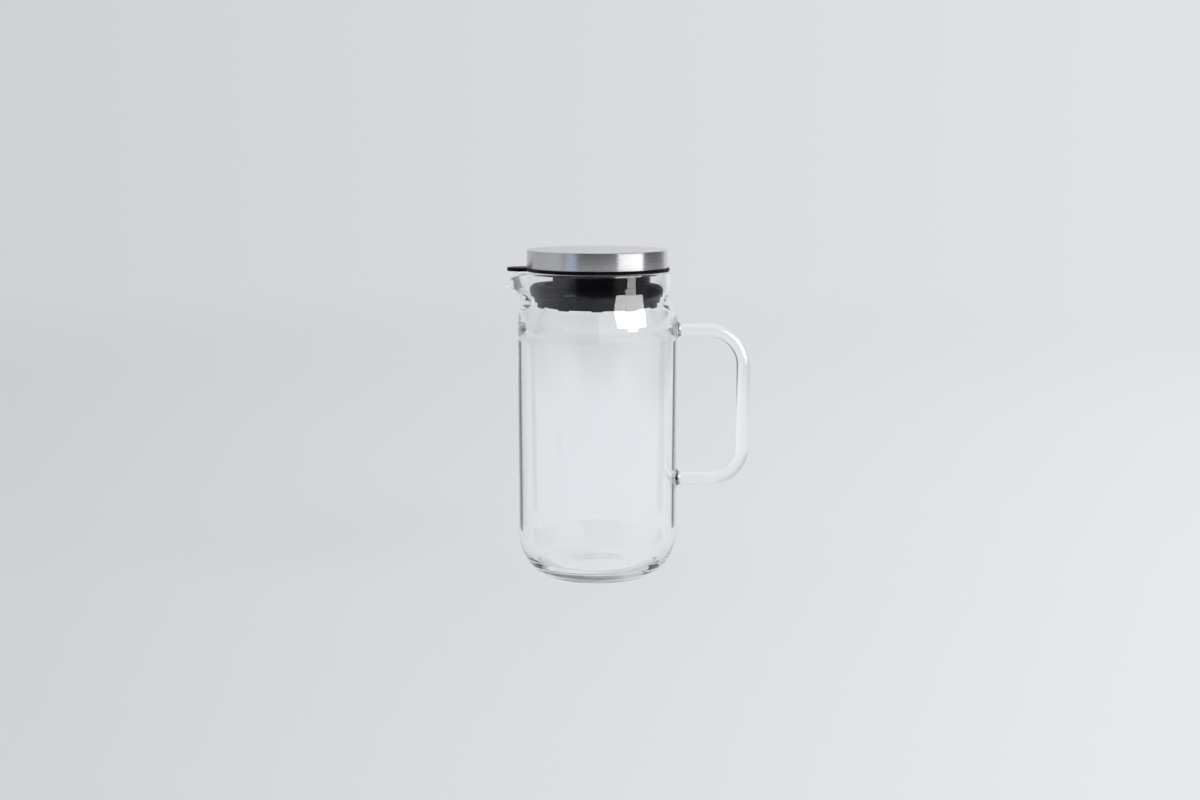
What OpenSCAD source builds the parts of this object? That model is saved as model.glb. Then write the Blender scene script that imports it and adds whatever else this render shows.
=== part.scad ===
/* [Glass body] */
// Outer diameter of the glass body
body_d = 95; // [90:1:110]
// Thickness of the glass wall just above the heel
wall = 3; // [2.4:0.1:3.6]
// Thickness of the glass wall below the shoulder
wall_top = 1.8; // [1.6:0.1:3]
// Height of the rim above the table
rim_h = 184.7; // [175:1:220]
// Width of the rounded heel
heel_w = 22; // [16:1:26]
// Height of the rounded heel
heel_h = 26; // [20:1:32]
// Radius of the flat floor inside
floor_r = 34; // [24:1:36]
// Thickness of the glass at the middle of the base
base_t = 6.7; // [4:0.1:7]
// Depth of the hollow under the base
punt = 2.5; // [1.5:0.1:3.5]
// Width of the flat ring that the jug stands on
foot_w = 5; // [3:0.5:8]

/* [Neck and spout] */
// Thickness of the glass in the neck
neck_wall = 3.4; // [3:0.1:4]
// Height of the curve from the body in to the neck
shoulder_h = 22; // [15:1:28]
// How much lower the inside of that curve lies than its outside
inner_low = 8; // [2:0.5:10]
// Height of the straight neck above that curve
neck_h = 11.7; // [8:0.1:16]
// Rounding of the rim's edges
rim_round = 1.3; // [0.8:0.1:1.4]
// How far the spout's lip stands out from the neck
spout_reach = 11.6; // [6:0.1:13]
// How far the spout's lip lies below the rim
spout_drop = 10.4; // [4:0.1:11]
// How much thinner the glass is at the spout's lip than in the neck
lip_thin = 1.8; // [0:0.1:2]

/* [Handle] */
// Diameter of the glass rod
rod_d = 7.8; // [6:0.1:9]
// Distance from the jug's axis to the far side of the handle
handle_reach = 91.5; // [86:0.5:100]
// Height of the upper bar's middle above the table
handle_top = 149.3; // [130:1:150]
// Height of the lower bar's middle above the table
handle_bottom = 59.2; // [45:1:70]
// Radius of the rod's upper bend, along its middle
upper_bend = 21.6; // [14:0.2:26]
// Radius of the rod's lower bend, along its middle
lower_bend = 18.9; // [14:0.2:26]
// Radius of the glass fillet where the rod is fused to the body
weld_r = 3; // [2:0.1:4]

/* [Steel cap] */
// How far the steel cap's side lies inside the gasket's edge
cap_inset = 1.05; // [0.4:0.05:2.4]
// Height of the steel cap
cap_h = 10.6; // [9:0.1:14]
// Thickness of the steel sheet
sheet = 0.8; // [0.5:0.1:1.2]
// Rounding of the cap's upper edge
cap_round = 0.6; // [0.3:0.1:0.8]

/* [Tab gasket] */
// How far the gasket's edge lies inside the neck's outer face
gasket_inset = 0.9; // [0.4:0.1:1.5]
// Thickness of the gasket
gasket_t = 2; // [1.5:0.1:3]
// How far the tab reaches out from the gasket's edge
tab_l = 10.6; // [6:0.1:14]
// Width of the tab
tab_w = 17.5; // [12:0.5:24]

/* [Plug] */
// Distance from the axis to the flat on the plug's neck
plug_flat = 25.6; // [24.8:0.1:28]
// Diameter of the disc at the plug's foot, from which the ring, the glass neck and the cap follow
disc_d = 71; // [66:0.2:76]
// How far that disc stands out from the plug's neck
disc_step = 3.9; // [3.4:0.1:5]
// Thickness of the disc at the plug's foot
disc_t = 3.8; // [3.4:0.1:5]
// Thickness of the plug's side wall
plug_wall = 2.4; // [1.8:0.1:3]
// Thickness of the plug's floor
plug_floor = 2.2; // [1.6:0.1:3]
// Diameter of the spigot that goes up through the gasket
spigot_d = 49; // [46:0.2:49]

/* [Strainer ring] */
// Clearance between the plug's disc and the skirt round it
disc_gap = 1; // [0.6:0.1:1.4]
// How far the ring stands out from its skirt
ring_bulge = 1.4; // [1:0.1:1.8]
// Clearance between the ring and the glass neck
ring_gap = 1.2; // [0.8:0.1:1.6]
// Height of the strainer ring
ring_h = 13.8; // [12.5:0.1:16]
// Distance from the rim down to the top of the ring
ring_drop = 8.2; // [6:0.1:10]
// Rounding of the ring's upper edge
ring_round = 3.4; // [2:0.1:3.8]
// Thickness of the ring's roof and outer wall
ring_wall = 1.9; // [1.4:0.1:2.2]
// Thickness of the skirt below the ring
skirt_t = 1.5; // [1.2:0.1:1.8]
// Thickness of the collar that grips the plug
collar_t = 1.6; // [1.2:0.1:2.2]
// Number of notches in the skirt
notches = 12; // [6:1:16]
// Height of the notches
notch_h = 3.2; // [2:0.1:3.4]
// Share of the skirt's round that is cut away by notches
notch_share = 0.67; // [0.3:0.01:0.75]

/* [Screws] */
// Number of screws that hold the plug to the cap core
screws = 3; // [3:1:4]
// Distance from the axis to each screw
screw_circle_r = 16; // [14:0.5:17]
// Diameter of a screw's shank
shank_d = 2.9; // [2.5:0.1:3]
// Length of a screw's shank
shank_l = 11; // [8:0.5:12]
// Diameter of a screw's head
head_d = 5.6; // [5:0.1:6]
// Thickness of a screw's head
head_h = 1.8; // [1.5:0.1:2]
// Thickness of the core under a screw's head
head_seat_t = 3; // [2.5:0.1:3.5]
// Diameter of the posts that the screws go into
post_d = 8; // [7:0.1:9]

/* [Cap core] */
// Thickness of the cap core's side wall
core_wall = 2.2; // [1.6:0.1:3]
// Thickness of the cap core's roof
core_roof = 2.4; // [2:0.1:3]
// Width of a notch across a screw's head
drive_w = 1; // [0.8:0.1:1.2]

/* [Hidden] */
$fn = 96;
// Clearance between two pieces that fit closely
fit = 0.1;
// How far a cut runs past the face that it opens
overrun = 1;

// Levels
neck_z = rim_h - neck_h;
shoulder_z = neck_z - shoulder_h;
cap_z = rim_h + gasket_t;
cap_top = cap_z + cap_h;
ring_top = rim_h - ring_drop;
ring_z = ring_top - ring_h;
disc_top = ring_z + disc_t;
floor_z = punt + base_t;

// Radii
body_r = body_d / 2;
body_in_r = body_r - wall;
top_in_r = body_r - wall_top;
foot_r = body_r - heel_w;
foot_in_r = foot_r - foot_w;
rod_r = rod_d / 2;
spigot_r = spigot_d / 2;
disc_r = disc_d / 2;
plug_r = disc_r - disc_step;
skirt_in_r = disc_r + disc_gap;
skirt_r = skirt_in_r + skirt_t;
ring_r = skirt_r + ring_bulge;
neck_in_r = ring_r + ring_gap;
neck_r = neck_in_r + neck_wall;
gasket_r = neck_r - gasket_inset;
cap_r = gasket_r - cap_inset;
tab_reach = gasket_r + tab_l;
core_r = cap_r - sheet - fit;
core_top = cap_top - sheet;

// Steps in the curved stretches of the outlines
heel_steps = 14;
shoulder_steps = 8;
low_steps = 3;
rim_steps = 3;
punt_steps = 8;

// Steps round the neck, and how much closer they lie near the spout
neck_steps = 72;
step_power = 1.35;
// Half of the angle that the spout's lip takes up at half its reach
lip_angle = 16;
// How sharply the wall turns out towards the lip
spout_power = 3.5;
// How much faster the lip drops towards its middle than it reaches out
drop_power = 3;
// How far the neck's flat facets stay inside the round wall that they stand on
skin = 0.1;

// A quarter of an ellipse that starts level at its lowest point and ends upright
function heel_arc(r0, z0, w, h, steps) =
    [for (i = [0 : steps]) [r0 + w * sin(90 * i / steps), z0 + h * (1 - cos(90 * i / steps))]];

// An S-curve from radius r0 at height z0 to radius r1 at height z1, as its radius at height z
function shoulder_r(r0, z0, r1, z1, z) = r0 + (r1 - r0) * (1 - cos(180 * (z - z0) / (z1 - z0))) / 2;

// The same curve as points
function shoulder(r0, z0, r1, z1, steps) =
    [for (i = [0 : steps]) let (z = z0 + (z1 - z0) * i / steps) [shoulder_r(r0, z0, r1, z1, z), z]];

// The inside of the shoulder between two heights, moved out by s
function inner_shoulder(za, zb, s, steps) =
    [for (i = [0 : steps])
        let (z = za + (zb - za) * i / steps)
        [s + shoulder_r(top_in_r, shoulder_z - inner_low, neck_in_r, neck_z - inner_low, z), z]];

// A quarter round about a centre, from angle a0
function quarter(cr, cz, r, a0, steps) =
    [for (i = [0 : steps]) [cr + r * cos(a0 + 90 * i / steps), cz + r * sin(a0 + 90 * i / steps)]];

function reversed(list) = [for (i = [len(list) - 1 : -1 : 0]) list[i]];

// The hollow under the base, from the axis out to the standing ring
punt_line = [for (i = [0 : punt_steps])
    [foot_in_r * i / punt_steps, punt * (1 + cos(180 * i / punt_steps)) / 2]];

outer_heel = heel_arc(foot_r, 0, heel_w, heel_h, heel_steps);
inner_heel = heel_arc(floor_r, floor_z, body_in_r - floor_r, heel_h - floor_z, heel_steps);
inner_bend = inner_shoulder(shoulder_z - inner_low, shoulder_z, 0, low_steps);

// The wall from the shoulder up over the rim and down inside, made thinner by s on each face
function neck_loop(s) = concat(
    shoulder(body_r - s, shoulder_z, neck_r - s, neck_z, shoulder_steps),
    quarter(neck_r - rim_round, rim_h - rim_round + s, rim_round - s, 0, rim_steps),
    quarter(neck_in_r + rim_round, rim_h - rim_round + s, rim_round - s, 90, rim_steps),
    reversed(inner_shoulder(shoulder_z, neck_z - inner_low, s, shoulder_steps)));

// How far the wall is drawn into the spout: 1 at the lip's middle, 0 on the handle's side
function bell(a) = 1 / (1 + pow(a / lip_angle, 2));
function spout_share(a) = (bell(a) - bell(180)) / (1 - bell(180));

// A point of the neck's outline, moved for the spout and turned to its place; a is counted from -X
function neck_point(p, a) =
    let (share = spout_share(a))
    let (rise = pow((p[1] - shoulder_z) / (rim_h - shoulder_z), spout_power))
    let (inner = max(0, min(1, (neck_r - p[0]) / neck_wall)))
    let (r = p[0] + (spout_reach + lip_thin * inner) * share * rise)
    [-r * cos(a), -r * sin(a), p[1] - spout_drop * pow(share, drop_power) * rise];

// The shoulder, neck and rim with the spout drawn out of them
module neck() {
    loop = neck_loop(skin);
    n = len(loop);
    points = [for (j = [0 : neck_steps - 1])
        let (t = 2 * j / neck_steps - 1)
        for (p = loop) neck_point(p, 180 * sign(t) * pow(abs(t), step_power))];
    faces = [for (j = [0 : neck_steps - 1]) for (i = [0 : n - 1])
        let (k = (i + 1) % n, m = (j + 1) % neck_steps)
        each [[j * n + i, j * n + k, m * n + i], [j * n + k, m * n + k, m * n + i]]];
    polyhedron(points = points, faces = faces);
}

// Everything inside the glass wall's outer face, without the spout
module jug_outside() {
    rotate_extrude()
        polygon(concat([[0, 0]], outer_heel, shoulder(body_r, shoulder_z, neck_r, neck_z, shoulder_steps),
                       [[neck_r, rim_h], [0, rim_h]]));
}

module glass_jug() {
    color([0.85, 0.90, 0.92, 0.4]) {
        rotate_extrude()
            polygon(concat(punt_line, outer_heel, [[body_r, shoulder_z]], reversed(inner_bend),
                           reversed(inner_heel), [[0, floor_z]]));
        neck();
    }
}

// A straight bar from the jug's axis, flared where it meets the wall
module handle_bar(bend) {
    bar_end = handle_reach - rod_r - bend;
    flare_r = rod_r + weld_r;
    rotate([0, 90, 0]) {
        cylinder(h = bar_end, r = rod_r);
        rotate_extrude()
            polygon(concat([[0, 0], [flare_r, 0]],
                           [for (i = [0 : heel_steps])
                               [flare_r - weld_r * sin(90 * i / heel_steps),
                                body_r + weld_r * (1 - cos(90 * i / heel_steps))]],
                           [[0, body_r + weld_r]]));
    }
}

// A quarter bend of the rod, from the +X direction round to the -Z direction
module handle_bend(bend) {
    rotate([90, 0, 0])
        rotate_extrude(angle = 90)
            translate([bend, 0])
                circle(r = rod_r);
}

module glass_handle() {
    rod_x = handle_reach - rod_r;
    upright_z = handle_bottom + lower_bend;
    color([0.85, 0.90, 0.92, 0.4])
        difference() {
            union() {
                translate([0, 0, handle_top])
                    handle_bar(upper_bend);
                translate([rod_x - upper_bend, 0, handle_top - upper_bend])
                    handle_bend(upper_bend);
                translate([rod_x, 0, upright_z])
                    cylinder(h = handle_top - upper_bend - upright_z, r = rod_r);
                translate([rod_x - lower_bend, 0, upright_z])
                    mirror([0, 0, 1])
                        handle_bend(lower_bend);
                translate([0, 0, handle_bottom])
                    handle_bar(lower_bend);
            }
            jug_outside();
        }
}

// Puts a copy on each screw's axis
module at_screws() {
    for (i = [0 : screws - 1])
        rotate([0, 0, 360 * i / screws])
            translate([screw_circle_r, 0, 0])
                children();
}

module steel_cap() {
    color("silver")
        rotate_extrude()
            polygon(concat([[cap_r - sheet, cap_z], [cap_r, cap_z]],
                           quarter(cap_r - cap_round, cap_top - cap_round, cap_round, 0, rim_steps),
                           [[0, cap_top], [0, core_top], [cap_r - sheet, core_top]]));
}

module cap_core() {
    head_z = cap_z + head_seat_t;
    color([0.08, 0.08, 0.08])
        difference() {
            union() {
                difference() {
                    translate([0, 0, cap_z])
                        cylinder(h = core_top - cap_z, r = core_r);
                    translate([0, 0, cap_z - overrun])
                        cylinder(h = core_top - core_roof - cap_z + overrun, r = core_r - core_wall);
                }
                at_screws()
                    translate([0, 0, cap_z])
                        cylinder(h = core_top - cap_z, d = post_d);
            }
            at_screws() {
                translate([0, 0, cap_z - overrun])
                    cylinder(h = core_top - cap_z, d = shank_d + 4 * fit);
                translate([0, 0, head_z])
                    cylinder(h = core_top - head_z + overrun, d = head_d + 4 * fit);
            }
        }
}

module tab_gasket() {
    edge_r = gasket_t / 2;
    tab_r = tab_w / 2;
    color([0.10, 0.10, 0.10])
        difference() {
            union() {
                rotate_extrude()
                    polygon(concat([[0, rim_h]],
                                   [for (i = [0 : 2 * rim_steps])
                                       let (a = 180 * i / (2 * rim_steps) - 90)
                                       [gasket_r - edge_r + edge_r * cos(a), rim_h + edge_r + edge_r * sin(a)]],
                                   [[0, cap_z]]));
                translate([0, 0, rim_h])
                    linear_extrude(gasket_t)
                        union() {
                            translate([tab_r - tab_reach, -tab_r])
                                square([tab_reach - tab_r - spigot_r, tab_w]);
                            translate([tab_r - tab_reach, 0])
                                circle(r = tab_r);
                        }
            }
            translate([0, 0, rim_h - overrun])
                cylinder(h = gasket_t + 2 * overrun, r = spigot_r + fit);
        }
}

module plug_body() {
    upper_in_r = spigot_r - plug_wall;
    lower_in_r = plug_r - plug_wall;
    cavity_z = ring_z + plug_floor;
    step_z = ring_top - plug_wall;
    pilot_l = shank_l - head_seat_t + fit;
    color([0.06, 0.06, 0.06])
        difference() {
            union() {
                difference() {
                    rotate_extrude()
                        polygon([[0, ring_z], [disc_r, ring_z], [disc_r, disc_top], [plug_r, disc_top],
                                 [plug_r, rim_h], [spigot_r, rim_h], [spigot_r, cap_z], [0, cap_z]]);
                    translate([-plug_r - plug_flat, -plug_r, disc_top])
                        cube([plug_r, 2 * plug_r, rim_h - disc_top]);
                    intersection() {
                        rotate_extrude()
                            polygon([[0, cavity_z], [lower_in_r, cavity_z], [lower_in_r, step_z],
                                     [upper_in_r, step_z], [upper_in_r, cap_z + overrun],
                                     [0, cap_z + overrun]]);
                        translate([plug_wall - plug_flat, -plug_r, ring_z])
                            cube([2 * plug_r, 2 * plug_r, cap_z - ring_z + 2 * overrun]);
                    }
                }
                at_screws()
                    translate([0, 0, ring_z])
                        cylinder(h = cap_z - ring_z, d = post_d);
            }
            at_screws()
                translate([0, 0, cap_z - pilot_l])
                    cylinder(h = pilot_l + overrun, d = shank_d + fit);
        }
}

module strainer_ring() {
    collar_in_r = plug_r + fit / 2;
    skirt_top = disc_top + skirt_t;
    bulge_z = ring_top - ring_h / 2 + fit;
    notch_angle = 360 * notch_share / notches;
    color([0.09, 0.09, 0.09])
        difference() {
            rotate_extrude()
                polygon(concat(
                    [[skirt_in_r, ring_z], [skirt_r, ring_z], [skirt_r, skirt_top], [ring_r, bulge_z]],
                    quarter(ring_r - ring_round, ring_top - ring_round, ring_round, 0, rim_steps),
                    [[collar_in_r, ring_top], [collar_in_r, disc_top], [collar_in_r + collar_t, disc_top],
                     [collar_in_r + collar_t, ring_top - ring_wall],
                     [ring_r - ring_round, ring_top - ring_wall],
                     [ring_r - ring_wall, ring_top - ring_round],
                     [ring_r - ring_wall, bulge_z], [skirt_in_r, skirt_top]]));
            for (i = [0 : notches - 1])
                rotate([0, 0, (360 * (i + 0.5)) / notches - notch_angle / 2])
                    rotate_extrude(angle = notch_angle)
                        translate([skirt_in_r - fit, ring_z - overrun])
                            square([skirt_t + overrun, notch_h + overrun]);
        }
}

module plug_screws() {
    head_z = cap_z + head_seat_t;
    color([0.75, 0.75, 0.77])
        at_screws()
            difference() {
                union() {
                    translate([0, 0, head_z - shank_l])
                        cylinder(h = shank_l, d = shank_d);
                    translate([0, 0, head_z])
                        cylinder(h = head_h, d = head_d);
                }
                for (a = [0, 90])
                    rotate([0, 0, a])
                        translate([-head_d / 4, -drive_w / 2, head_z + head_h / 3])
                            cube([head_d / 2, drive_w, head_h]);
            }
}

glass_jug();
glass_handle();
steel_cap();
cap_core();
tab_gasket();
plug_body();
strainer_ring();
plug_screws();
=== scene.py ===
"""A glass pitcher with a steel and black plug lid: its looks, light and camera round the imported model."""
import math

import bmesh
import bpy
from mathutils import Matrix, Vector


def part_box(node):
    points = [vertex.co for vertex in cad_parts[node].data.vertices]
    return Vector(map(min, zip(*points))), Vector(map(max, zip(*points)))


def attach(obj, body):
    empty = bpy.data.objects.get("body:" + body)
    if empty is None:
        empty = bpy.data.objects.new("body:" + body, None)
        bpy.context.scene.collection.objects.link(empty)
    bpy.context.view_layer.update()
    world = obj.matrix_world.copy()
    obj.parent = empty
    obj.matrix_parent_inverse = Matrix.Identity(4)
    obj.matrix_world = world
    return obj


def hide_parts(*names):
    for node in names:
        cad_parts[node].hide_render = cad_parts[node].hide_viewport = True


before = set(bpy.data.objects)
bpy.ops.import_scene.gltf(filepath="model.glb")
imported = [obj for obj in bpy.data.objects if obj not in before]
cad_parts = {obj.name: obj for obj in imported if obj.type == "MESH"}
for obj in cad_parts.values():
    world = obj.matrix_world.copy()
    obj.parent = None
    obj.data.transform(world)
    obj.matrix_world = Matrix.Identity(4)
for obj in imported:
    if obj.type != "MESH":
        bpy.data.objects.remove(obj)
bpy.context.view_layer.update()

MM = 0.001
SAME_POINT = 1e-7

# Levels and reaches, taken from the frame
GLASS_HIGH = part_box("glass_jug")[1]
HANDLE_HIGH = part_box("glass_handle")[1]
CAP_LOW, CAP_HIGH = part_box("steel_cap")

# The glass body, in metres
RIM_Z = GLASS_HIGH.z
BODY_R = GLASS_HIGH.y
WALL = 3.0 * MM
WALL_TOP = 1.8 * MM
HEEL_W = 22 * MM
HEEL_H = 26 * MM
FLOOR_R = 34 * MM
BASE_T = 6.7 * MM
PUNT = 2.5 * MM
FOOT_W = 5 * MM
NECK_R = 44.0 * MM
NECK_WALL = 3.4 * MM
SHOULDER_H = 22 * MM
INNER_LOW = 8 * MM
NECK_H = 11.7 * MM
RIM_ROUND = 1.3 * MM
NECK_WAIST = 3.5 * MM
NECK_Z = RIM_Z - NECK_H
SHOULDER_Z = NECK_Z - SHOULDER_H
ROUND_Z = RIM_Z - RIM_ROUND

# The spout: its reach and drop at the lip, the angle where its reach halves, and how fast both set in
SPOUT_REACH = 11.6 * MM
SPOUT_DROP = 10.4 * MM
LIP_THIN = 1.8 * MM
LIP_HALF = 16
SPOUT_POWER = 3.5
DROP_POWER = 3

# The handle
ROD_R = 3.9 * MM
UPPER_BEND = 21.6 * MM
LOWER_BEND = 18.9 * MM
HANDLE_X = HANDLE_HIGH.x - ROD_R
UPPER_Z = 149.3 * MM
LOWER_Z = 59.2 * MM
WELD_R = 3 * MM

# The steel cap's skin
CAP_SHEET = 0.8 * MM
CAP_EDGE = 0.5 * MM
CAP_FACES_UP = 0.9

# Steps along the outlines and round the pieces
GLASS_SIDES = 384
SPOUT_CROWDING = 1.35
HOLLOW_STEPS = 16
FOOT_STEPS = 3
HEEL_STEPS = 80
INNER_HEEL_STEPS = 64
FLOOR_STEPS = 8
WALL_STEPS = 24
SHOULDER_STEPS = 36
NECK_STEPS = 12
INNER_NECK_STEPS = 20
RIM_STEPS = 8
BAR_STEPS = 44
BEND_STEPS = 28
GRIP_STEPS = 40
ROD_SIDES = 48
CAP_SIDES = 192
CAP_TOP_STEPS = 10
CAP_EDGE_STEPS = 6
CAP_HEM_STEPS = 3

# Edges that turn by more degrees than these are shown sharp
GLASS_SHARP = 40
CAP_SHARP = 60


def arc(centre, radius, start, end, steps):
    """Points on a circle about centre, from one angle to another, in degrees."""
    angles = [math.radians(start + (end - start) * i / steps) for i in range(steps + 1)]
    return [(centre[0] + radius * math.cos(a), centre[1] + radius * math.sin(a)) for a in angles]


def heel_arc(r0, z0, width, height, steps):
    """A quarter of an ellipse from its level lowest point out to its upright end."""
    turns = [math.radians(90 * i / steps) for i in range(steps + 1)]
    return [(r0 + width * math.sin(a), z0 + height * (1 - math.cos(a))) for a in turns]


def shoulder(r0, z0, r1, z1, steps):
    """An S-curve from one radius and height to another, without a kink in its curvature."""
    shares = [i / steps for i in range(steps + 1)]
    return [(r0 + (r1 - r0) * s ** 3 * (10 - 15 * s + 6 * s * s), z0 + (z1 - z0) * s) for s in shares]


def line(start, end, steps):
    """Points from start to end, without the two ends."""
    return [tuple(a + (b - a) * i / steps for a, b in zip(start, end)) for i in range(1, steps)]


def new_piece(name, mesh, body, material, nodes):
    """An object that rides on a body and stands for the given nodes."""
    piece = bpy.data.objects.new(name, mesh)
    bpy.context.scene.collection.objects.link(piece)
    mesh.materials.append(material)
    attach(piece, body)
    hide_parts(*nodes)
    return piece


def smooth(mesh, angle):
    """Smooth shading with a sharp edge wherever two faces meet at more than the angle."""
    mesh.polygons.foreach_set("use_smooth", [True] * len(mesh.polygons))
    mesh.set_sharp_from_angle(angle=math.radians(angle))


def new_mesh(name, verts, faces):
    """A mesh with every face turned outwards and no doubled points."""
    mesh = bpy.data.meshes.new(name)
    mesh.from_pydata(verts, [], faces)
    bm = bmesh.new()
    bm.from_mesh(mesh)
    bmesh.ops.remove_doubles(bm, verts=bm.verts, dist=SAME_POINT)
    bmesh.ops.recalc_face_normals(bm, faces=bm.faces)
    bm.to_mesh(mesh)
    bm.free()
    mesh.update()
    return mesh


def round_point(r, z, turn):
    """A point of an outline turned about Z by an angle in degrees."""
    a = math.radians(turn)
    return (r * math.cos(a), r * math.sin(a), z)


def lathe(name, outline, turns, place=round_point):
    """A closed outline turned about Z. turns are the angles in degrees; place moves each point."""
    verts, rings = [], []
    for r, z in outline:
        if r < SAME_POINT:
            verts.append((0, 0, z))
            rings.append([len(verts) - 1] * len(turns))
            continue
        rings.append(list(range(len(verts), len(verts) + len(turns))))
        verts.extend(place(r, z, turn) for turn in turns)
    faces = []
    for low, high in zip(rings, rings[1:] + rings[:1]):
        for j in range(len(turns)):
            k = (j + 1) % len(turns)
            corners = [low[j], low[k], high[k], high[j]]
            face = [v for i, v in enumerate(corners) if v != corners[i - 1]]
            if len(face) > 2:
                faces.append(face)
    return new_mesh(name, verts, faces)


# Node trees
# Most of a noise texture lies between these two values
NOISE_LOW, NOISE_HIGH = 0.3, 0.7
# The numbers of a Mix node's two colour inputs and of its colour output
FIRST_COLOUR, SECOND_COLOUR, MIXED_COLOUR = 6, 7, 2


def fill(tree, node, values):
    """Gives each named input of a node its value, or links a socket to it."""
    for socket, value in values:
        if isinstance(value, bpy.types.NodeSocket):
            tree.links.new(value, node.inputs[socket])
        else:
            node.inputs[socket].default_value = value


def adder(tree):
    """A function that adds a node to the tree, with its settings and its inputs."""
    def add(kind, values=(), **settings):
        node = tree.nodes.new(kind)
        for key, value in settings.items():
            setattr(node, key, value)
        fill(tree, node, values)
        return node

    return add


def maths(add, operation, first, second):
    """The result of one operation on two values or sockets."""
    return add("ShaderNodeMath", [(0, first), (1, second)], operation=operation).outputs[0]


def remap(add, value, low, high, to_low=0, to_high=1, **settings):
    """Where a value lies between low and high, laid between two other values."""
    limits = [("From Min", low), ("From Max", high), ("To Min", to_low), ("To Max", to_high)]
    return add("ShaderNodeMapRange", [("Value", value), *limits], **settings).outputs["Result"]


def mix_colours(add, share, first, second, mode="MIX"):
    """A colour between two, of which each is a colour or a socket."""
    ends = [end if isinstance(end, bpy.types.NodeSocket) else (*end, 1) for end in (first, second)]
    return add("ShaderNodeMix", [(0, share), (FIRST_COLOUR, ends[0]), (SECOND_COLOUR, ends[1])],
               data_type="RGBA", blend_type=mode).outputs[MIXED_COLOUR]


def mix_shaders(add, share, first, second):
    """A shader between two others."""
    return add("ShaderNodeMixShader", [(0, share), (1, first), (2, second)]).outputs[0]


def bump(add, height, strength, distance):
    """The normal of a surface with a bump of the given height texture, strength and depth in metres."""
    values = [("Height", height), ("Strength", strength), ("Distance", distance)]
    return add("ShaderNodeBump", values).outputs["Normal"]


def split(add, place):
    """The three parts of a vector."""
    apart = add("ShaderNodeSeparateXYZ", [("Vector", place)]).outputs
    return [apart[axis] for axis in "XYZ"]


def join(add, x, y, z=0):
    """A vector of three parts."""
    return add("ShaderNodeCombineXYZ", [("X", x), ("Y", y), ("Z", z)]).outputs["Vector"]


def length(add, vector):
    """The length of a vector."""
    return add("ShaderNodeVectorMath", [(0, vector)], operation="LENGTH").outputs["Value"]


def object_place(add):
    """Object coordinates."""
    return add("ShaderNodeTexCoord").outputs["Object"]


def noise(add, place, scale, detail):
    """A noise texture at a place."""
    values = [("Vector", place), ("Scale", scale), ("Detail", detail)]
    return add("ShaderNodeTexNoise", values).outputs["Fac"]


def stretched(add, scale=(1, 1, 1)):
    """Object coordinates stretched by a scale."""
    return add("ShaderNodeMapping", [("Vector", object_place(add)), ("Scale", scale)]).outputs["Vector"]


def new_material(name):
    """A node material, and a function that adds nodes to it."""
    material = bpy.data.materials.new(name)
    material.use_nodes = True
    return material, adder(material.node_tree)


def coat(material, values):
    """Sets or links the named inputs of the material's Principled shader, and returns its output."""
    shader = material.node_tree.nodes["Principled BSDF"]
    fill(material.node_tree, shader, values)
    return shader.outputs[0]


def show(material, shader):
    """Makes a shader the material's surface."""
    fill(material.node_tree, material.node_tree.nodes["Material Output"], [("Surface", shader)])


# Materials
GLASS_COLOUR = (0.992, 0.995, 0.994)
GLASS_IOR = 1.473
RIPPLE_STRETCH = (1, 1, 0.35)
RIPPLE_SCALE = 60
RIPPLE_DETAIL = 1
RIPPLE_STRENGTH = 0.05
RIPPLE_DEPTH = 0.5 * MM

BRUSH_SCALE = 9000
BRUSH_DETAIL = 2
BRUSH_WRAP = 0.0006
BRUSH_ROUGH_LOW, BRUSH_ROUGH_HIGH = 0.25, 0.33
BRUSH_STRENGTH = 0.05
BRUSH_DEPTH = 0.02 * MM
BRUSH_QUARTER_TURN = 0.25

GRAIN_DETAIL = 4
GRAIN_TONES = (0.8, 1.2)
GRAIN_STRENGTH = 0.04
GRAIN_DEPTH = 0.04 * MM


def glass_material():
    """Clear glass with the faint ripples of blown glass, drawn out along the axis."""
    material, add = new_material("clear_glass")
    ripple = noise(add, stretched(add, RIPPLE_STRETCH), RIPPLE_SCALE, RIPPLE_DETAIL)
    coat(material, [("Base Color", (*GLASS_COLOUR, 1)), ("Transmission Weight", 1), ("IOR", GLASS_IOR),
                    ("Roughness", 0), ("Normal", bump(add, ripple, RIPPLE_STRENGTH, RIPPLE_DEPTH))])
    return material


def brushed_grain(add):
    """Fine lines round the axis, which hardly change along the turn."""
    x, y, z = split(add, object_place(add))
    wrap = maths(add, "MULTIPLY", maths(add, "ARCTAN2", y, x), BRUSH_WRAP)
    return noise(add, join(add, length(add, join(add, x, y)), z, wrap), BRUSH_SCALE, BRUSH_DETAIL)


def steel_material(name, stretch, tone_low, tone_high):
    """Steel brushed round the axis. stretch is how much its highlights run across the brushing."""
    material, add = new_material(name)
    tangent = add("ShaderNodeTangent", direction_type="RADIAL", axis="Z").outputs["Tangent"]
    grain = brushed_grain(add)
    tone = remap(add, grain, NOISE_LOW, NOISE_HIGH, tone_low, tone_high)
    grey = add("ShaderNodeCombineColor", [("Red", tone), ("Green", tone), ("Blue", tone)])
    rough = remap(add, grain, NOISE_LOW, NOISE_HIGH, BRUSH_ROUGH_LOW, BRUSH_ROUGH_HIGH)
    coat(material, [("Base Color", grey.outputs["Color"]), ("Metallic", 1), ("Roughness", rough),
                    ("Anisotropic", stretch), ("Anisotropic Rotation", BRUSH_QUARTER_TURN),
                    ("Tangent", tangent), ("Normal", bump(add, grain, BRUSH_STRENGTH, BRUSH_DEPTH))])
    return material


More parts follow.
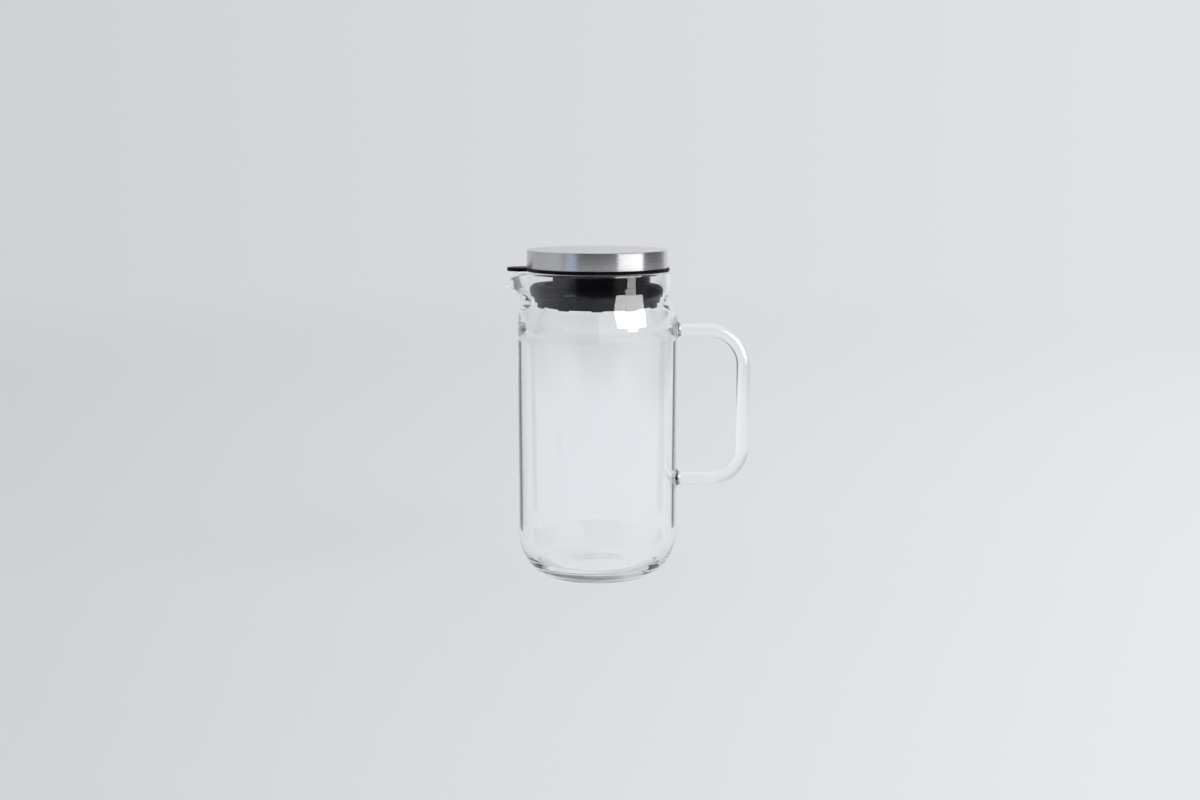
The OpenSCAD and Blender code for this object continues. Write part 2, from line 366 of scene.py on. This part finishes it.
def black_material(name, colour, rough_low, rough_high, grain_scale, specular):
    """Black plastic or rubber with a fine moulded grain in its colour, gloss and surface."""
    material, add = new_material(name)
    grain = noise(add, stretched(add), grain_scale, GRAIN_DETAIL)
    rough = remap(add, grain, NOISE_LOW, NOISE_HIGH, rough_low, rough_high)
    ramp = add("ShaderNodeValToRGB", [("Fac", grain)])
    for stop, tone in zip(ramp.color_ramp.elements, GRAIN_TONES):
        stop.color = (*[tone * c for c in colour], 1)
    coat(material, [("Base Color", ramp.outputs["Color"]), ("Roughness", rough),
                    ("Specular IOR Level", specular),
                    ("Normal", bump(add, grain, GRAIN_STRENGTH, GRAIN_DEPTH))])
    return material


GLASS = glass_material()
STEEL = steel_material("brushed_steel", stretch=0.97, tone_low=0.58, tone_high=0.68)
# The top's copy has highlights that hardly stretch, as its brushing runs the other way, and a lighter tone
# that is painted light on the cap's top.
STEEL_TOP_PAINTED_LIGHTER = steel_material("brushed_steel_top_painted_lighter", stretch=0.1, tone_low=0.68, tone_high=0.8)
PLASTIC = black_material("black_plastic", (0.0015, 0.0015, 0.002), rough_low=0.25, rough_high=0.35,
                         grain_scale=900, specular=0.1)
SILICONE = black_material("black_silicone", (0.002, 0.002, 0.0025), rough_low=0.42, rough_high=0.55,
                          grain_scale=700, specular=0.1)


# The glass
def bell(turn):
    """A curve that is 1 at the lip's middle and halves at LIP_HALF."""
    return 1 / (1 + (turn / LIP_HALF) ** 2)


def spout_share(turn):
    """1 at the lip's middle and 0 on the handle's side; turn is counted from -X."""
    return (bell(turn) - bell(180)) / (1 - bell(180))


def glass_point(r, z, turn):
    """A point of the body's outline turned to its place, with the spout drawn out."""
    share = spout_share(turn)
    rise = max(0.0, (z - SHOULDER_Z) / (NECK_H + SHOULDER_H)) ** SPOUT_POWER
    inner = max(0.0, min(1.0, (NECK_R - r) / NECK_WALL))
    reach = r + (SPOUT_REACH + LIP_THIN * inner) * share * rise
    return round_point(-reach, z - SPOUT_DROP * share ** DROP_POWER * rise, turn)


def outer_outline():
    """The body's section from the middle of the underside out, round the heel and up to the rim."""
    foot_r = BODY_R - HEEL_W
    hollow_r = foot_r - FOOT_W
    waist_z = NECK_Z + NECK_WAIST
    shares = [i / HOLLOW_STEPS for i in range(HOLLOW_STEPS + 1)]
    hollow = [(hollow_r * s, PUNT * (1 + math.cos(math.pi * s)) / 2) for s in shares]
    heel = heel_arc(foot_r, 0, HEEL_W, HEEL_H, HEEL_STEPS)
    return (hollow + line(hollow[-1], heel[0], FOOT_STEPS) + heel
            + line(heel[-1], (BODY_R, SHOULDER_Z), WALL_STEPS)
            + shoulder(BODY_R, SHOULDER_Z, NECK_R, waist_z, SHOULDER_STEPS)
            + line((NECK_R, waist_z), (NECK_R, ROUND_Z), NECK_STEPS)
            + arc((NECK_R - RIM_ROUND, ROUND_Z), RIM_ROUND, 0, 90, RIM_STEPS))


def inner_outline():
    """The body's section from the rim down the neck and the wall to the middle of the floor."""
    inner_r = BODY_R - WALL
    top_r = BODY_R - WALL_TOP
    neck_in = NECK_R - NECK_WALL
    floor_z = PUNT + BASE_T
    heel = heel_arc(FLOOR_R, floor_z, inner_r - FLOOR_R, HEEL_H - floor_z, INNER_HEEL_STEPS)
    return (arc((neck_in + RIM_ROUND, ROUND_Z), RIM_ROUND, 90, 180, RIM_STEPS)
            + line((neck_in, ROUND_Z), (neck_in, NECK_Z - INNER_LOW), INNER_NECK_STEPS)
            + shoulder(neck_in, NECK_Z - INNER_LOW, top_r, SHOULDER_Z - INNER_LOW, SHOULDER_STEPS)
            + line((top_r, SHOULDER_Z - INNER_LOW), heel[-1], WALL_STEPS) + heel[::-1]
            + line((FLOOR_R, floor_z), (0, floor_z), FLOOR_STEPS) + [(0, floor_z)])


def glass_turns():
    """Angles round the body that lie closer together near the spout."""
    shares = [2 * j / GLASS_SIDES - 1 for j in range(GLASS_SIDES)]
    return [180 * math.copysign(abs(s) ** SPOUT_CROWDING, s) for s in shares]


def handle_path():
    """The middle line of the rod from inside the upper weld round to inside the lower one."""
    start_x = BODY_R - WALL / 2
    upper = arc((HANDLE_X - UPPER_BEND, UPPER_Z - UPPER_BEND), UPPER_BEND, 90, 0, BEND_STEPS)
    lower = arc((HANDLE_X - LOWER_BEND, LOWER_Z + LOWER_BEND), LOWER_BEND, 0, -90, BEND_STEPS)
    return ([(start_x, UPPER_Z)] + line((start_x, UPPER_Z), upper[0], BAR_STEPS) + upper
            + line(upper[-1], lower[0], GRIP_STEPS) + lower
            + line(lower[-1], (start_x, LOWER_Z), BAR_STEPS) + [(start_x, LOWER_Z)])


def rod_radius(x):
    """The rod's radius at a distance from the axis. It flares to the wall at both ends."""
    out = x - BODY_R
    if out >= WELD_R:
        return ROD_R
    depth = max(0.0, min(1.0, (WELD_R - out) / WELD_R))
    return ROD_R + WELD_R * (1 - math.sqrt(1 - depth ** 2))


def sweep(name, path, radius_at, sides):
    """A tube of changing radius along a path in the XZ plane, closed at both ends."""
    verts, faces = [], []
    across = Vector((0, 1, 0))
    for i, (x, z) in enumerate(path):
        before, after = path[max(i - 1, 0)], path[min(i + 1, len(path) - 1)]
        along = Vector((after[0] - before[0], 0, after[1] - before[1])).normalized()
        third = along.cross(across)
        r = radius_at(x)
        for j in range(sides):
            a = 2 * math.pi * j / sides
            verts.append(Vector((x, 0, z)) + r * (math.cos(a) * across + math.sin(a) * third))
    for i in range(len(path) - 1):
        for j in range(sides):
            k = (j + 1) % sides
            faces.append((i * sides + j, i * sides + k, (i + 1) * sides + k, (i + 1) * sides + j))
    faces.append(tuple(reversed(range(sides))))
    faces.append(tuple(range((len(path) - 1) * sides, len(path) * sides)))
    return new_mesh(name, verts, faces)


def join_solids(name, first, second):
    """One mesh that is the union of two closed ones."""
    base = bpy.data.objects.new("union_base", first)
    tool = bpy.data.objects.new("union_tool", second)
    for thing in (base, tool):
        bpy.context.scene.collection.objects.link(thing)
    modifier = base.modifiers.new("union", "BOOLEAN")
    modifier.operation = "UNION"
    modifier.solver = "EXACT"
    modifier.object = tool
    seen = base.evaluated_get(bpy.context.evaluated_depsgraph_get())
    mesh = bpy.data.meshes.new_from_object(seen)
    mesh.name = name
    for thing in (base, tool):
        bpy.data.objects.remove(thing)
    return mesh


def make_glass():
    """Body and handle as one fused mesh, which lets light pass to what it holds."""
    body = lathe("body_glass", outer_outline() + inner_outline(), glass_turns(), glass_point)
    rod = sweep("rod_glass", handle_path(), rod_radius, ROD_SIDES)
    mesh = join_solids("fused_glass", body, rod)
    smooth(mesh, GLASS_SHARP)
    piece = new_piece("fused_glass", mesh, "jug", GLASS, ["glass_jug", "glass_handle"])
    piece.visible_shadow = False
    piece.visible_diffuse = False


# The lid
def make_cap():
    """The pressed steel skin, with a rounded edge and a rounded hem."""
    r, low, high = CAP_HIGH.x, CAP_LOW.z, CAP_HIGH.z
    hem = CAP_SHEET / 4
    outline = ([(0, high)] + line((0, high), (r - CAP_EDGE, high), CAP_TOP_STEPS)
               + arc((r - CAP_EDGE, high - CAP_EDGE), CAP_EDGE, 90, 0, CAP_EDGE_STEPS)
               + arc((r - hem, low + hem), hem, 0, -90, CAP_HEM_STEPS)
               + arc((r - 3 * hem, low + hem), hem, -90, -180, CAP_HEM_STEPS)
               + [(r - CAP_SHEET, high - CAP_SHEET), (0, high - CAP_SHEET)])
    turns = [360 * i / CAP_SIDES for i in range(CAP_SIDES)]
    mesh = lathe("steel_cap_skin", outline, turns)
    smooth(mesh, CAP_SHARP)
    new_piece("steel_cap_skin", mesh, "lid", STEEL, ["steel_cap"])
    # The faces that look up get the lighter copy of the steel: painted light on the top.
    mesh.materials.append(STEEL_TOP_PAINTED_LIGHTER)
    for face in mesh.polygons:
        if face.normal.z > CAP_FACES_UP:
            face.material_index = 1


def make_lid():
    """The cap's skin, and procedural materials on the CAD nodes that stay."""
    make_cap()
    for node, material in (("cap_core", PLASTIC), ("plug_body", PLASTIC), ("tab_gasket", SILICONE),
                           ("strainer_ring", SILICONE), ("plug_screws", STEEL)):
        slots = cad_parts[node].data.materials
        slots.clear()
        slots.append(material)


# The backdrop, from the left of the picture to its right, darker on the left: painted light falling from the
# right
BACKGROUND_LEFT = (0.63, 0.64, 0.665)
BACKGROUND_RIGHT = (0.75, 0.765, 0.795)
BACKGROUND_SLANT = 0.33

# The glow of the paper on the table, darker on the left than on the right: painted light falling from the
# right. Its colour changes across lines that meet PAPER_EYE in front of the object
PAPER_LEFT = (0.64, 0.65, 0.675)
PAPER_RIGHT = (0.86, 0.875, 0.905)
PAPER_GLOW = 0.6
PAPER_EYE = 0.994
PAPER_LEAST = 0.3
PAPER_SLANT = 0.35

# The table, and how far off it starts to fade and is gone: in front, on the right and all round
TABLE_COLOUR = (0.80, 0.81, 0.83)
TABLE_ROUGH = 0.9
TABLE_SIDES = 128
TABLE_FRONT, TABLE_FRONT_END = 0.7, 1.0
TABLE_RIGHT, TABLE_RIGHT_END = 0.65, 0.8
TABLE_NEAR, TABLE_FAR = 0.6, 2.4

# What stands round the object, seen from it: degrees to the right of the camera's side, and colour
ROOM = ((-180, (0.70, 0.715, 0.74)), (-150, (0.60, 0.61, 0.63)), (-112, (0.50, 0.51, 0.53)),
        (-66, (0.56, 0.57, 0.58)), (-56, (0.30, 0.31, 0.34)), (-33, (0.16, 0.17, 0.19)),
        (-31, (0.03, 0.03, 0.035)), (24, (0.02, 0.02, 0.025)), (34, (0.20, 0.20, 0.22)),
        (83, (0.25, 0.25, 0.27)), (88, (0.12, 0.12, 0.14)), (116, (0.10, 0.10, 0.12)),
        (128, (0.22, 0.22, 0.24)), (136, (0.40, 0.41, 0.43)), (143, (0.765, 0.78, 0.81)))
CEILING = (0.70, 0.72, 0.75)
CEILING_FROM, CEILING_TO = 50, 75

# The least that light sees of the room when it went straight through the jug's four surfaces
ROOM_THROUGH = (0.66, 0.675, 0.70)
JUG_SURFACES = 4

# Bends are whole numbers, so the steps between them are looked for half way
HALF_BEND = 0.5
DEEP_FROM, DEEP_TO = 2.4, 2.6

# The windows and the dark cards
KEY_RADIANCE = 4.2
WINDOW_RADIANCE = (8, 8, 8)
BLUE_RADIANCE = (1.8, 3.2, 5.6)
EDGE_DARK = (0.02, 0.02, 0.025)
EDGE_CARD_H = 0.133
LID_MIDDLE = (0, 0, 0.17)

# The camera
CAMERA_AT = (1.6 * MM, -993.6 * MM, 252.7 * MM)
CAMERA_DOWN = 8.356
LENS, SENSOR = 50, 36
CLIP_NEAR, CLIP_FAR = 0.01, 50
MOST_BOUNCES = 96


def painted_paper_light(add, x, y):
    """The paper's glow at a place on the table, darker to the left: painted light falling from the right."""
    depth = maths(add, "MAXIMUM", maths(add, "ADD", y, PAPER_EYE), PAPER_LEAST)
    across = remap(add, maths(add, "DIVIDE", x, depth), -PAPER_SLANT, PAPER_SLANT)
    return mix_colours(add, across, PAPER_LEFT, PAPER_RIGHT)


def table_fade(add, place, x, y):
    """0 where the table is whole and 1 where it is gone."""
    fade = 0
    for distance, near, far in ((length(add, place), TABLE_NEAR, TABLE_FAR),
                                (y, -TABLE_FRONT, -TABLE_FRONT_END),
                                (x, TABLE_RIGHT, TABLE_RIGHT_END)):
        gone = remap(add, distance, near, far, interpolation_type="SMOOTHSTEP")
        fade = maths(add, "MAXIMUM", fade, gone)
    return fade


def table_material():
    """Pale paper that glows a little, darker to the left as painted light from the right, and fades into the
    background far from the object.
    """
    material, add = new_material("studio_table")
    place = object_place(add)
    x, y, _ = split(add, place)
    paper = coat(material, [("Base Color", (*TABLE_COLOUR, 1)), ("Roughness", TABLE_ROUGH),
                            ("Specular IOR Level", 0)])
    glow = add("ShaderNodeEmission", [("Color", painted_paper_light(add, x, y))]).outputs[0]
    lit = mix_shaders(add, PAPER_GLOW, paper, glow)
    clear = add("ShaderNodeBsdfTransparent").outputs[0]
    show(material, mix_shaders(add, table_fade(add, place, x, y), lit, clear))
    return material


def make_table():
    """A round table top under the object."""
    mesh = bpy.data.meshes.new("studio_table")
    bm = bmesh.new()
    bmesh.ops.create_circle(bm, cap_ends=True, segments=TABLE_SIDES, radius=TABLE_FAR)
    bm.to_mesh(mesh)
    bm.free()
    mesh.materials.append(table_material())
    table = bpy.data.objects.new("studio_table", mesh)
    bpy.context.scene.collection.objects.link(table)


def way_to(turn, lift):
    """A direction from the object. turn counts to the right of the camera's side, lift is up, in degrees."""
    a, e = math.radians(turn), math.radians(lift)
    return Vector((math.sin(a) * math.cos(e), -math.cos(a) * math.cos(e), math.sin(e)))


def area_light(name, turn, lift, distance, size, radiance, aim=LID_MIDDLE):
    """A soft rectangle of light in a direction from the point that it aims at."""
    lamp = bpy.data.lights.new(name, "AREA")
    lamp.shape = "RECTANGLE"
    lamp.size, lamp.size_y = size
    lamp.energy = radiance * math.pi * size[0] * size[1]
    way = way_to(turn, lift)
    thing = bpy.data.objects.new(name, lamp)
    thing.location = Vector(aim) + way * distance
    thing.rotation_euler = (-way).to_track_quat("-Z", "Y").to_euler()
    thing.visible_glossy = thing.visible_transmission = False
    bpy.context.scene.collection.objects.link(thing)


def card_material(name, colour, bends, shares):
    """A glow that only light sees which was bent or mirrored more often than bends.

    A card with bends is seen only by light that was also mirrored on its way, so not straight through glass.
    shares are the parts of its glow for blurred reflections, for clear ones and for much bent light."""
    material, add = new_material(name)
    blurred_share, clear_share, deep_share = shares
    ray = add("ShaderNodeLightPath").outputs
    by_kind = remap(add, ray["Is Singular Ray"], 0, 1, blurred_share, clear_share)
    by_depth = remap(add, ray["Ray Depth"], DEEP_FROM, DEEP_TO, 1, deep_share)
    strength = maths(add, "MULTIPLY", by_kind, by_depth)
    used = maths(add, "GREATER_THAN", strength, 0)
    bent = maths(add, "GREATER_THAN", ray["Ray Depth"], bends + HALF_BEND)
    mirrored = maths(add, "GREATER_THAN", ray["Glossy Depth"], min(bends, 1) - HALF_BEND)
    shown = maths(add, "MULTIPLY", maths(add, "MULTIPLY", bent, mirrored), used)
    glow = add("ShaderNodeEmission", [("Color", (*colour, 1)), ("Strength", strength)]).outputs[0]
    show(material, mix_shaders(add, shown, add("ShaderNodeBsdfTransparent").outputs[0], glow))
    return material


def card(name, turn, lift, distance, size, colour, aim=LID_MIDDLE, bends=0, shares=(1, 1, 1)):
    """A flat card that only mirrors and glass see, in a direction from the point that it aims at."""
    w, h = size[0] / 2, size[1] / 2
    mesh = bpy.data.meshes.new(name)
    mesh.from_pydata([(-w, -h, 0), (w, -h, 0), (w, h, 0), (-w, h, 0)], [], [(0, 1, 2, 3)])
    mesh.materials.append(card_material(name, colour, bends, shares))
    way = way_to(turn, lift)
    thing = bpy.data.objects.new(name, mesh)
    thing.location = Vector(aim) + way * distance
    thing.rotation_euler = way.to_track_quat("Z", "Y").to_euler()
    thing.visible_camera = thing.visible_diffuse = thing.visible_shadow = False
    bpy.context.scene.collection.objects.link(thing)


def room_colour(add, x, y):
    """The room's colour in a direction round the object."""
    turn = maths(add, "ARCTAN2", x, maths(add, "MULTIPLY", y, -1))
    room = add("ShaderNodeValToRGB", [("Fac", remap(add, turn, -math.pi, math.pi))])
    stops = room.color_ramp.elements
    while len(stops) > 1:
        stops.remove(stops[0])
    stops[0].position, stops[0].color = 0, (*ROOM[0][1], 1)
    for degrees, colour in ROOM[1:]:
        stops.new((degrees + 180) / 360).color = (*colour, 1)
    return room.outputs["Color"]


def straight_through(add, ray):
    """1 for light that passed as many surfaces as the jug has and was never mirrored."""
    through = maths(add, "GREATER_THAN", ray["Ray Depth"], JUG_SURFACES - HALF_BEND)
    unmirrored = maths(add, "LESS_THAN", ray["Glossy Depth"], HALF_BEND)
    return maths(add, "MULTIPLY", through, unmirrored)


def make_world():
    """The room round the table: pale behind the object, dim behind the camera, bright above."""
    world = bpy.data.worlds.new("studio")
    bpy.context.scene.world = world
    world.use_nodes = True
    tree = world.node_tree
    add = adder(tree)
    x, y, z = split(add, add("ShaderNodeTexCoord").outputs["Generated"])
    ceiling_low, ceiling_high = [math.sin(math.radians(lift)) for lift in (CEILING_FROM, CEILING_TO)]
    rise = remap(add, z, ceiling_low, ceiling_high, interpolation_type="SMOOTHSTEP")
    room = mix_colours(add, rise, room_colour(add, x, y), CEILING)
    ray = add("ShaderNodeLightPath").outputs
    room = mix_colours(add, straight_through(add, ray), room, ROOM_THROUGH, "LIGHTEN")
    # The backdrop that the camera sees is darker on the left: painted light falling from the right.
    across = remap(add, x, -BACKGROUND_SLANT, BACKGROUND_SLANT)
    backdrop = mix_colours(add, across, BACKGROUND_LEFT, BACKGROUND_RIGHT)
    seen = mix_colours(add, ray["Is Camera Ray"], room, backdrop)
    fill(tree, tree.nodes["Background"], [("Color", seen), ("Strength", 1)])


def make_lights():
    """A large window on the right, a small blue one on the left, and a dark card on each side behind."""
    area_light("key_window", turn=57, lift=22.5, distance=4.0, size=(3.48, 4.16), radiance=KEY_RADIANCE)
    card("steel_window", turn=56.3, lift=-4.5, distance=3.9, size=(3.25, 1.3), colour=WINDOW_RADIANCE,
         shares=(0.45, 0, 0.1))
    card("glass_window", turn=51.5, lift=20.5, distance=3.8, size=(3.3, 2.9), colour=WINDOW_RADIANCE,
         shares=(0, 1.6, 0.05))
    card("glass_window_foot", turn=52.5, lift=-2.5, distance=3.6, size=(1.1, 0.34), colour=WINDOW_RADIANCE,
         shares=(0, 0.9, 0.05))
    card("blue_window", turn=-41.4, lift=-0.5, distance=1.6, size=(0.48, 0.08), colour=BLUE_RADIANCE,
         shares=(1, 0.42, 1))
    edge_middle = (0, 0, EDGE_CARD_H / 2)
    card("left_edge_card", turn=-140.5, lift=0, distance=0.1335, size=(0.045, EDGE_CARD_H),
         colour=EDGE_DARK, aim=edge_middle, bends=2)
    card("right_edge_card", turn=137.1, lift=0, distance=0.1406, size=(0.035, EDGE_CARD_H),
         colour=EDGE_DARK, aim=edge_middle, bends=2)


def make_camera():
    """The photograph's camera: a 50 mm lens on a 36 mm sensor, looking along +Y and slightly down."""
    lens = bpy.data.cameras.new("camera")
    lens.lens = LENS
    lens.sensor_width = SENSOR
    lens.clip_start, lens.clip_end = CLIP_NEAR, CLIP_FAR
    camera = bpy.data.objects.new("camera", lens)
    camera.location = CAMERA_AT
    camera.rotation_euler = (math.radians(90 - CAMERA_DOWN), 0, 0)
    bpy.context.scene.collection.objects.link(camera)
    bpy.context.scene.camera = camera


make_glass()
make_lid()
make_table()
make_lights()
make_world()
make_camera()
bpy.context.scene.view_settings.view_transform = "Standard"
light_paths = bpy.context.scene.cycles
light_paths.max_bounces = MOST_BOUNCES
light_paths.transmission_bounces = MOST_BOUNCES
light_paths.glossy_bounces = MOST_BOUNCES
